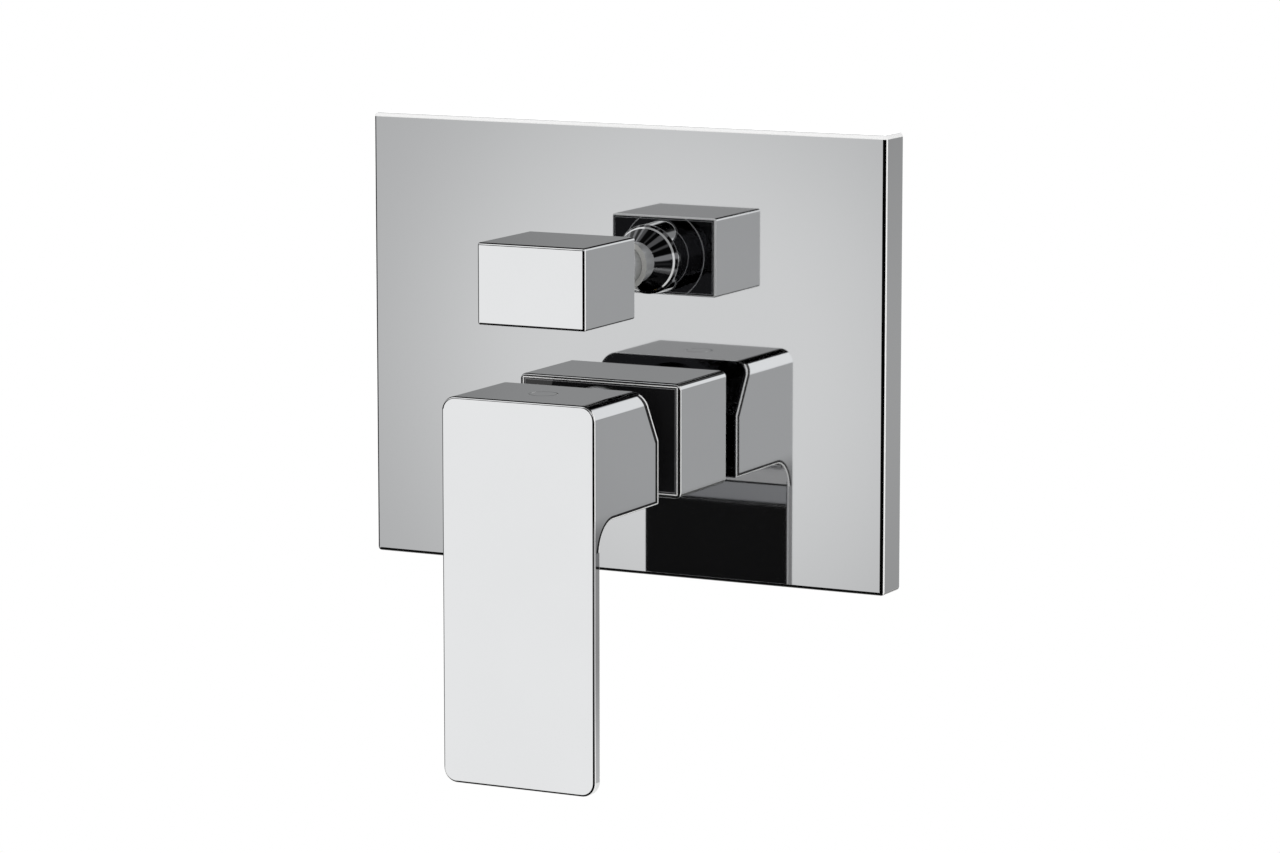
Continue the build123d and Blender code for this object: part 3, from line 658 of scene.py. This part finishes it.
def handleChrome(name):
    material, parts, facing, rear = castChrome(name, handleMarks["bladeBack"])
    tree, place = parts["tree"], parts["place"]
    axes = addNode(tree, "ShaderNodeSeparateXYZ", links={0: place.outputs["Object"]})

    # Painted dark reflection band where the top rolls over on the right
    start, end = [level * millimetre for level in handleMarks["band"]]
    within = addNode(
        tree, "ShaderNodeMath",
        {"operation": "COMPARE", 1: (start + end) / 2, 2: (end - start) / 2},
        {0: axes.outputs["X"]},
    )
    raised = addNode(
        tree, "ShaderNodeMath", {"operation": "GREATER_THAN", 1: handleMarks["bandTurn"]},
        {0: facing.outputs["Z"]},
    )
    band = addNode(
        tree, "ShaderNodeMath", {"operation": "MULTIPLY"},
        {0: within.outputs[0], 1: raised.outputs[0]},
    )
    overlay(parts, band.outputs[0], handleMarks["darkReflectionTone"])

    # Painted shade on the blade's sides near the hub
    beside = addNode(tree, "ShaderNodeMath", {"operation": "ABSOLUTE"}, {0: facing.outputs["X"]})
    flank = addNode(
        tree, "ShaderNodeMath", {"operation": "GREATER_THAN", 1: handleMarks["sideTurn"]},
        {0: beside.outputs[0]},
    )
    blade = flank.outputs[0]
    for limits in (handleMarks["shadeBelow"], handleMarks["shadeAbove"]):
        low, high = [level * millimetre for level in limits]
        shade = addNode(
            tree, "ShaderNodeMapRange", {**softStep, "From Min": low, "From Max": high},
            {"Value": axes.outputs["Z"]},
        )
        blade = addNode(
            tree, "ShaderNodeMath", {"operation": "MULTIPLY"},
            {0: blade, 1: shade.outputs["Result"]},
        ).outputs[0]
    overlay(parts, blade, handleMarks["shadeTone"])

    # Painted dark and highlight lines along the hub's rear outline
    upper = addNode(
        tree, "ShaderNodeMath",
        {"operation": "GREATER_THAN", 1: handleMarks["rootCentre"][2] * millimetre},
        {0: axes.outputs["Z"]},
    )
    hub = addNode(
        tree, "ShaderNodeMath", {"operation": "MULTIPLY"},
        {0: flank.outputs[0], 1: upper.outputs[0]},
    )
    inset = hubInset(tree, place, axes)
    drawLines(parts, inset, hub.outputs[0], handleMarks["lines"])

    # Painted deep shade on the back and in the recess
    low, high = handleMarks["bladeBack"] * millimetre, handleMarks["hubFront"] * millimetre
    depth = addNode(
        tree, "ShaderNodeMapRange", {**softStep, "From Min": low, "From Max": high},
        {"Value": axes.outputs["Y"]},
    )
    deep = addNode(
        tree, "ShaderNodeMath", {"operation": "MULTIPLY"}, {0: rear, 1: depth.outputs["Result"]},
    )
    reach = axisDistance(tree, place, controls["mixer"])
    near = addNode(
        tree, "ShaderNodeMath",
        {"operation": "LESS_THAN", 1: handleMarks["cavity"] * millimetre}, {0: reach},
    )
    inner = addNode(
        tree, "ShaderNodeMath",
        {"operation": "GREATER_THAN", 1: handleMarks["cavityFloor"] * millimetre},
        {0: axes.outputs["Y"]},
    )
    bore = addNode(
        tree, "ShaderNodeMath", {"operation": "MULTIPLY"},
        {0: near.outputs[0], 1: inner.outputs[0]},
    )
    both = addNode(
        tree, "ShaderNodeMath", {"operation": "MAXIMUM"},
        {0: deep.outputs[0], 1: bore.outputs[0]},
    )
    overlay(parts, both.outputs[0], chrome["deepShadeTone"])
    return material


# Sleeve: the same chrome, with painted shade on its front rim, where it lies in the shadow behind
# the handle, and painted highlight lines on it
sleeveRim = {
    "half": (28.2, 18.1),        # half its width and height
    # painted shade on the rim
    "tone": "#19191A",
    "turn": (-0.88, -0.97),      # how squarely the rim looks away from the wall
    # painted highlight lines
    "lines": [(1.0, 1.3, "#FFFFFF", True), (1.7, 1.9, "#808082", True)],
}


def sleeveChrome(name):
    material, parts = newFinish(name, chrome["look"])
    paintEdgeReflections(parts)
    tree, place = parts["tree"], parts["place"]
    facing = addNode(tree, "ShaderNodeSeparateXYZ", links={0: place.outputs["Normal"]})
    # Painted shade on the front rim, with painted highlight lines
    low, high = sleeveRim["turn"]
    rim = addNode(
        tree, "ShaderNodeMapRange", {**softStep, "From Min": low, "From Max": high},
        {"Value": facing.outputs["Y"]},
    ).outputs["Result"]
    overlay(parts, rim, sleeveRim["tone"])
    matten(parts, rim)
    inset = rectangleInset(tree, place, sleeveRim["half"], controls["mixer"])
    drawLines(parts, inset, rim, sleeveRim["lines"])
    return material


# Plate: chromed brass sheet, a shade darker, with painted light falling off gently from its
# brightest place into painted shade
plateChrome = {
    "look": {
        "colour": "#D3D4D5", "second": "#D0D1D2", "metallic": 1.0, "roughness": (0.02, 0.035),
        "patch": 60.0, "grain": 20.0, "grainHeight": 0.0009,
    },
    # centre of the painted light
    "brightest": (20.0, 0.0, -4.0),
    "fade": (38.0, 140.6),       # distances from there between which the painted light falls off into painted shade
    # painted shade towards the plate's edges
    "falloffShadeTone": "#B2B3B4",
    # painted shade on the back
    "backShadeTone": "#77787A",
}


def sheetChrome(name):
    material, parts = newFinish(name, plateChrome["look"])
    tree, place = parts["tree"], parts["place"]
    # Painted light falling off into painted shade towards the edges
    brightest = Vector(plateChrome["brightest"]) * millimetre
    away = addNode(
        tree, "ShaderNodeVectorMath", {"operation": "DISTANCE", 1: brightest},
        {0: place.outputs["Object"]},
    )
    low, high = [reach * millimetre for reach in plateChrome["fade"]]
    fade = addNode(
        tree, "ShaderNodeMapRange", {**softStep, "From Min": low, "From Max": high},
        {"Value": away.outputs["Value"]},
    )
    overlay(parts, fade.outputs["Result"], plateChrome["falloffShadeTone"])
    paintEdgeReflections(parts, highlightTop=True)
    # Painted shade on the back
    facing = addNode(tree, "ShaderNodeSeparateXYZ", links={0: place.outputs["Normal"]})
    low, high = chrome["backTurn"]
    back = addNode(
        tree, "ShaderNodeMapRange", {**softStep, "From Min": low, "From Max": high},
        {"Value": facing.outputs["Y"]},
    )
    overlay(parts, back.outputs["Result"], plateChrome["backShadeTone"])
    return material


# Stem: turned brass, chromed, satin on the straight part, with painted shade and painted reflection
# streaks on the flare and a painted highlight ring where the cone meets the flare
stemChrome = {
    "look": {
        "colour": "#D8D9DA", "second": "#C9CACB", "metallic": 1.0, "roughness": (0.03, 0.06),
        "patch": 9.0, "grain": 3.0, "grainHeight": 0.0006,
    },
    # painted shade on the flare
    "flareShadeTone": "#101011",
    "flareTurn": (0.25, 0.45),   # how far the flare looks towards the wall
    # painted reflection streaks
    "streakReflectionTone": "#8A8A8C",
    "streakWidth": 0.3,          # of a radian round the stem
    "streakLevels": (0.5, 0.62),
    "satinEnd": -21.3,           # straight part, nearest the wall, ground to a satin
    "satinEdge": 0.2,
    "satinRoughness": 0.42,
    "ring": (-28.0, -27.35),     # painted highlight ring where the cone meets the flare
    "ringHighlightTone": "#FFFFFF",
}


def turnedChrome(name):
    material, parts = newFinish(name, stemChrome["look"])
    tree, place = parts["tree"], parts["place"]
    facing = addNode(tree, "ShaderNodeSeparateXYZ", links={0: place.outputs["Normal"]})
    # Painted shade on the flare
    low, high = stemChrome["flareTurn"]
    flare = addNode(
        tree, "ShaderNodeMapRange", {**softStep, "From Min": low, "From Max": high},
        {"Value": facing.outputs["Y"]},
    ).outputs["Result"]
    overlay(parts, flare, stemChrome["flareShadeTone"])
    # Painted reflection streaks round the flare
    flat = addNode(
        tree, "ShaderNodeVectorMath", {"operation": "MULTIPLY", 1: (1.0, 0.0, 1.0)},
        {0: place.outputs["Normal"]},
    )
    around = addNode(
        tree, "ShaderNodeVectorMath", {"operation": "NORMALIZE"}, {0: flat.outputs[0]},
    )
    streaks = addNode(
        tree, "ShaderNodeTexNoise", {"Scale": 1 / stemChrome["streakWidth"], "Detail": 1.0},
        {"Vector": around.outputs[0]},
    )
    low, high = stemChrome["streakLevels"]
    lit = addNode(
        tree, "ShaderNodeMapRange", {**softStep, "From Min": low, "From Max": high},
        {"Value": streaks.outputs["Fac"]},
    )
    shown = addNode(
        tree, "ShaderNodeMath", {"operation": "MULTIPLY"}, {0: lit.outputs["Result"], 1: flare},
    )
    overlay(parts, shown.outputs[0], stemChrome["streakReflectionTone"])
    # Painted highlight ring
    axes = addNode(tree, "ShaderNodeSeparateXYZ", links={0: place.outputs["Object"]})
    start, end = [level * millimetre for level in stemChrome["ring"]]
    middle = addNode(
        tree, "ShaderNodeMath", {"operation": "SUBTRACT", 1: (start + end) / 2},
        {0: axes.outputs["Y"]},
    )
    apart = addNode(tree, "ShaderNodeMath", {"operation": "ABSOLUTE"}, {0: middle.outputs[0]})
    ring = addNode(
        tree, "ShaderNodeMath", {"operation": "LESS_THAN", 1: (end - start) / 2},
        {0: apart.outputs[0]},
    )
    overlay(parts, ring.outputs[0], stemChrome["ringHighlightTone"])
    limit, edge = stemChrome["satinEnd"] * millimetre, stemChrome["satinEdge"] * millimetre
    straight = addNode(
        tree, "ShaderNodeMapRange",
        {**softStep, "From Min": limit - edge, "From Max": limit + edge},
        {"Value": axes.outputs["Y"]},
    )
    satin = addNode(
        tree, "ShaderNodeMix", {"B": stemChrome["satinRoughness"]},
        {"Factor": straight.outputs["Result"], "A": parts["sheen"].outputs["Result"]},
    )
    tree.links.new(satin.outputs["Result"], parts["shader"].inputs["Roughness"])
    return material


# Domed cover: chromed, then blasted to a satin, so that it glows a little in its gap
coverSatin = {
    "colour": "#C4C5C7", "second": "#B6B7B9", "metallic": 1.0, "roughness": (0.3, 0.38),
    "patch": 8.0, "grain": 0.5, "grainHeight": 0.003,
}

# Fine rings left by the lathe, about whichever control's axis is nearer
turning = {
    "pitch": 0.45,               # a real feed is 0.1 mm, drawn coarser so that it shows
    "height": 0.006,
    "waver": 0.6,
}


def addTurning(parts):
    tree, place = parts["tree"], parts["place"]
    reaches = [axisDistance(tree, place, height) for height in controls.values()]
    nearer = addNode(
        tree, "ShaderNodeMath", {"operation": "MINIMUM"}, {0: reaches[0], 1: reaches[1]},
    )
    axes = addNode(tree, "ShaderNodeSeparateXYZ", links={0: place.outputs["Object"]})
    feed = addNode(tree, "ShaderNodeCombineXYZ", links={0: nearer.outputs[0], 1: axes.outputs["Y"]})
    # The wave texture runs through ten radians for each unit of its scale
    scale = 2 * math.pi / (10 * turning["pitch"] * millimetre)
    settings = {"bands_direction": "DIAGONAL", "Scale": scale, "Distortion": turning["waver"]}
    rings = addNode(tree, "ShaderNodeTexWave", settings, {"Vector": feed.outputs[0]})
    settings = {"Strength": 1.0, "Distance": turning["height"] * millimetre}
    bump = addNode(
        tree, "ShaderNodeBump", settings,
        {"Height": rings.outputs["Fac"], "Normal": parts["bump"].outputs["Normal"]},
    )
    tree.links.new(bump.outputs["Normal"], parts["shader"].inputs["Normal"])


# Turned brass: warm yellow with lathe rings and faint dull patches
brassTurned = {
    "colour": "#D9B568", "second": "#C9A255", "metallic": 1.0, "roughness": (0.2, 0.34),
    "patch": 12.0, "grain": 0.8, "grainHeight": 0.002,
}

# Stainless steel, turned: cool grey with lathe rings
steelTurned = {
    "colour": "#B9BABB", "second": "#A7A8A9", "metallic": 1.0, "roughness": (0.22, 0.34),
    "patch": 8.0, "grain": 0.6, "grainHeight": 0.0015,
}

# Brass forging, shot-blasted: dull straw yellow, finely peened, with brighter machined mouths
brassForged = {
    "look": {
        "colour": "#CFB57E", "second": "#B3955C", "metallic": 1.0, "roughness": (0.36, 0.5),
        "patch": 14.0, "grain": 1.1, "grainHeight": 0.16,
    },
    "machinedTone": "#DDBB70",
    "machinedRoughness": 0.22,
    "machinedGrain": 0.002,
    "mouths": {"side": 49.6, "top": 57.6, "bottom": -61.6},  # machined from here outwards
    "frontFace": -0.97,          # and where the front looks squarely away from the wall
}


def forgedBrass(name):
    look = brassForged["look"]
    material, parts = newFinish(name, look)
    tree, place = parts["tree"], parts["place"]
    axes = addNode(tree, "ShaderNodeSeparateXYZ", links={0: place.outputs["Object"]})
    facing = addNode(tree, "ShaderNodeSeparateXYZ", links={0: place.outputs["Normal"]})
    mouths = brassForged["mouths"]
    sideways = addNode(tree, "ShaderNodeMath", {"operation": "ABSOLUTE"}, {0: axes.outputs["X"]})
    tests = [
        ("GREATER_THAN", sideways.outputs[0], mouths["side"] * millimetre),
        ("GREATER_THAN", axes.outputs["Z"], mouths["top"] * millimetre),
        ("LESS_THAN", axes.outputs["Z"], mouths["bottom"] * millimetre),
        ("LESS_THAN", facing.outputs["Y"], brassForged["frontFace"]),
    ]
    mask = None
    for operation, value, limit in tests:
        test = addNode(
            tree, "ShaderNodeMath", {"operation": operation, 1: limit}, {0: value},
        ).outputs[0]
        if mask is None:
            mask = test
        else:
            mask = addNode(
                tree, "ShaderNodeMath", {"operation": "MAXIMUM"}, {0: mask, 1: test},
            ).outputs[0]
    overlay(parts, mask, brassForged["machinedTone"])
    smooth = addNode(
        tree, "ShaderNodeMix", {"B": brassForged["machinedRoughness"]},
        {"Factor": mask, "A": parts["sheen"].outputs["Result"]},
    )
    tree.links.new(smooth.outputs["Result"], parts["shader"].inputs["Roughness"])
    settings = {"To Min": look["grainHeight"], "To Max": brassForged["machinedGrain"]}
    height = addNode(tree, "ShaderNodeMapRange", settings, {"Value": mask})
    metres = addNode(
        tree, "ShaderNodeMath", {"operation": "MULTIPLY", 1: millimetre},
        {0: height.outputs["Result"]},
    )
    tree.links.new(metres.outputs[0], parts["bump"].inputs["Distance"])
    return material


# Moulded plastics, ceramic and rubber of the cartridge and the valve
mouldings = {
    # Glass-filled engineering plastic, moulded: chalky off-white with a fine fibre grain
    "cartridgePlastic": {
        "colour": "#DCDAD2", "second": "#CFCDC4", "ior": 1.5, "roughness": (0.42, 0.56),
        "patch": 9.0, "grain": 0.5, "grainHeight": 0.01,
    },
    # Acetal, moulded dark: soft waxy sheen
    "turretAcetal": {
        "colour": "#2B2C2F", "second": "#232427", "ior": 1.48, "roughness": (0.34, 0.46),
        "patch": 7.0, "grain": 0.6, "grainHeight": 0.006,
    },
    # Acetal, moulded natural grey
    "bushingAcetal": {
        "colour": "#B9B9B6", "second": "#ABABA8", "ior": 1.48, "roughness": (0.36, 0.48),
        "patch": 7.0, "grain": 0.6, "grainHeight": 0.006,
    },
    # Alumina, lapped: bright ivory with an almost polished face
    "aluminaLapped": {
        "colour": "#EFEDE3", "second": "#E6E3D7", "ior": 1.76, "roughness": (0.14, 0.22),
        "patch": 6.0, "grain": 0.4, "grainHeight": 0.001,
    },
    # EPDM rubber, moulded: soft black, slightly bloomed grey
    "rubberMoulded": {
        "colour": "#1A1B1D", "second": "#26272A", "ior": 1.52, "roughness": (0.5, 0.68),
        "patch": 5.0, "grain": 0.5, "grainHeight": 0.012,
    },
    # Closed-cell foam, slit from sheet: charcoal with small open cells
    "foamClosedCell": {
        "colour": "#2A2B2C", "second": "#1B1C1D", "ior": 1.45, "roughness": (0.8, 0.95),
        "patch": 1.6, "grain": 0.9, "grainHeight": 0.25,
    },
}

leverFinish = handleChrome("handleChromePolished")
finishes = {
    "chrome_handle": knobChrome("knobChromePolished"),
    "chrome_plate": sheetChrome("plateChromePolished"),
    "cover_chrome": turnedChrome("stemChromePolished"),
    "forged_brass": forgedBrass("brassForgedBlasted"),
}
turnedMetals = [
    ("turned_brass", "brassTurned", brassTurned),
    ("stainless", "steelTurned", steelTurned),
]
for slot, name, look in turnedMetals:
    finishes[slot], parts = newFinish(name, look)
    addTurning(parts)
plastics = {
    "cartridge_plastic": "cartridgePlastic",
    "turret_plastic": "turretAcetal",
    "bushing_plastic": "bushingAcetal",
    "ceramic": "aluminaLapped",
    "black_rubber": "rubberMoulded",
    "foam": "foamClosedCell",
}
for slot, name in plastics.items():
    finishes[slot] = newFinish(name, mouldings[name])[0]

# Nodes whose finish isn't their slot's own
exceptions = {
    "lever_handle": leverFinish,
    "handle_sleeve": sleeveChrome("sleeveChromePolished"),
    "knob_stem": finishes["cover_chrome"],
    "dome_cover": newFinish("coverChromeSatin", coverSatin)[0],
}
slots = {part["node"]: part["material_slot"] for part in frame["record"]["subparts"]}
for name, piece in frame["nodes"].items():
    piece.data.materials.clear()
    piece.data.materials.append(exceptions.get(name) or finishes[slots[name]])
print("finishes set on", len(frame["nodes"]), "pieces")


# A mesh object from corners and faces, shaded smooth, riding on a body in a record slot
def addPiece(name, corners, faces, body, slot):
    mesh = bpy.data.meshes.new(name)
    mesh.from_pydata(corners, [], faces)
    mesh.update()
    mesh.shade_smooth()
    piece = bpy.data.objects.new(name, mesh)
    scene.collection.objects.link(piece)
    piece.data.materials.append(finishes[slot])
    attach(piece, body)
    return piece


# Threads of the four ports: half-inch pipe thread, cut from just inside each mouth
portThread = {
    "pitch": 1.814,
    "start": 1.0,
    "length": 12.0,
    "root": 9.28,
    "crest": 8.75,
    "stepsPerTurn": 48,
    "runOut": 30,                # steps over which the crest rises and falls at the ends
    "crestHalf": 0.12,           # of the pitch
    "depth": 42.0,               # port axes behind the wall's face
    "mouths": {
        "left": ((-50.0, -25.0), (1.0, 0.0)),
        "right": ((50.0, -25.0), (-1.0, 0.0)),
        "top": ((0.0, 58.0), (0.0, -1.0)),
        "bottom": ((0.0, -62.0), (0.0, 1.0)),
    },
}


def cutThread(name, mouth, inward):
    across = Vector((-inward[1], 0.0, inward[0]))
    along = Vector((inward[0], 0.0, inward[1]))
    deep = Vector((0.0, 1.0, 0.0))
    centre = Vector((mouth[0], portThread["depth"], mouth[1]))
    turns = portThread["length"] / portThread["pitch"]
    steps = round(turns * portThread["stepsPerTurn"])
    runOut, crestHalf = portThread["runOut"], portThread["crestHalf"]
    root, crest = portThread["root"], portThread["crest"]
    profile = ((-0.5, 0.0), (-crestHalf, 1.0), (crestHalf, 1.0), (0.5, 0.0))
    corners, faces = [], []
    for step in range(steps + 1):
        angle = 2 * math.pi * step / portThread["stepsPerTurn"]
        ray = across * math.cos(angle) + deep * math.sin(angle)
        travel = portThread["start"] + portThread["pitch"] * step / portThread["stepsPerTurn"]
        lead = min(1.0, step / runOut, (steps - step) / runOut)
        for offset, level in profile:
            radius = root + (crest - root) * lead * level
            point = centre + along * (travel + offset * portThread["pitch"]) + ray * radius
            corners.append(point * millimetre)
    width = len(profile)
    for step in range(steps):
        for side in range(width - 1):
            first = step * width + side
            faces.append((first, first + 1, first + width + 1, first + width))
    return addPiece(name, corners, faces, "fixed", "turned_brass")


for side, (mouth, inward) in portThread["mouths"].items():
    cutThread("port_thread_" + side, mouth, inward)
print("port threads cut")

# Sealing strip: soft foam behind the plate's rim, its edges crowned and its skin uneven
sealStrip = {
    "width": 8.0,
    "sections": 18,
    "stepsPerSide": 60,
    "unevenness": 0.16,
    "bubbleSize": 3.0,
    "sideCrown": 0.45,           # 1 gives a round section, 0 a square one
    "faceCrown": 0.6,
}


def laySealStrip():
    low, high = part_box("plate_seal")
    low, high = Vector(low), Vector(high)
    half = sealStrip["width"] / 2 * millimetre
    thick = (high.y - low.y) / 2
    middle = (high.y + low.y) / 2
    corner = [
        Vector((low.x + half, 0, low.z + half)),
        Vector((high.x - half, 0, low.z + half)),
        Vector((high.x - half, 0, high.z - half)),
        Vector((low.x + half, 0, high.z - half)),
    ]
    outward = [Vector((-1, 0, -1)), Vector((1, 0, -1)), Vector((1, 0, 1)), Vector((-1, 0, 1))]
    sideOut = [Vector((0, 0, -1)), Vector((1, 0, 0)), Vector((0, 0, 1)), Vector((-1, 0, 0))]
    stations = []
    steps = sealStrip["stepsPerSide"]
    for side in range(4):
        for step in range(steps):
            share = step / steps
            point = corner[side].lerp(corner[(side + 1) % 4], share)
            stations.append((point, outward[side] if step == 0 else sideOut[side]))
    corners, faces = [], []
    count = sealStrip["sections"]
    for point, out in stations:
        for index in range(count):
            angle = 2 * math.pi * index / count
            across = math.copysign(abs(math.cos(angle)) ** sealStrip["sideCrown"], math.cos(angle))
            up = math.copysign(abs(math.sin(angle)) ** sealStrip["faceCrown"], math.sin(angle))
            spot = point + out * half * across + Vector((0, middle + thick * up, 0))
            dent = noise.noise(spot / (sealStrip["bubbleSize"] * millimetre))
            pull = sealStrip["unevenness"] * millimetre * (1 + dent) / 2
            spot -= out * pull * across + Vector((0, pull * up, 0))
            corners.append(spot)
    total = len(stations)
    for station in range(total):
        following = (station + 1) % total
        for index in range(count):
            beside = (index + 1) % count
            faces.append((
                station * count + index, station * count + beside,
                following * count + beside, following * count + index,
            ))
    strip = addPiece("foam_strip", corners, faces, "fixed", "foam")
    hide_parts("plate_seal")


laySealStrip()
print("sealing strip laid")
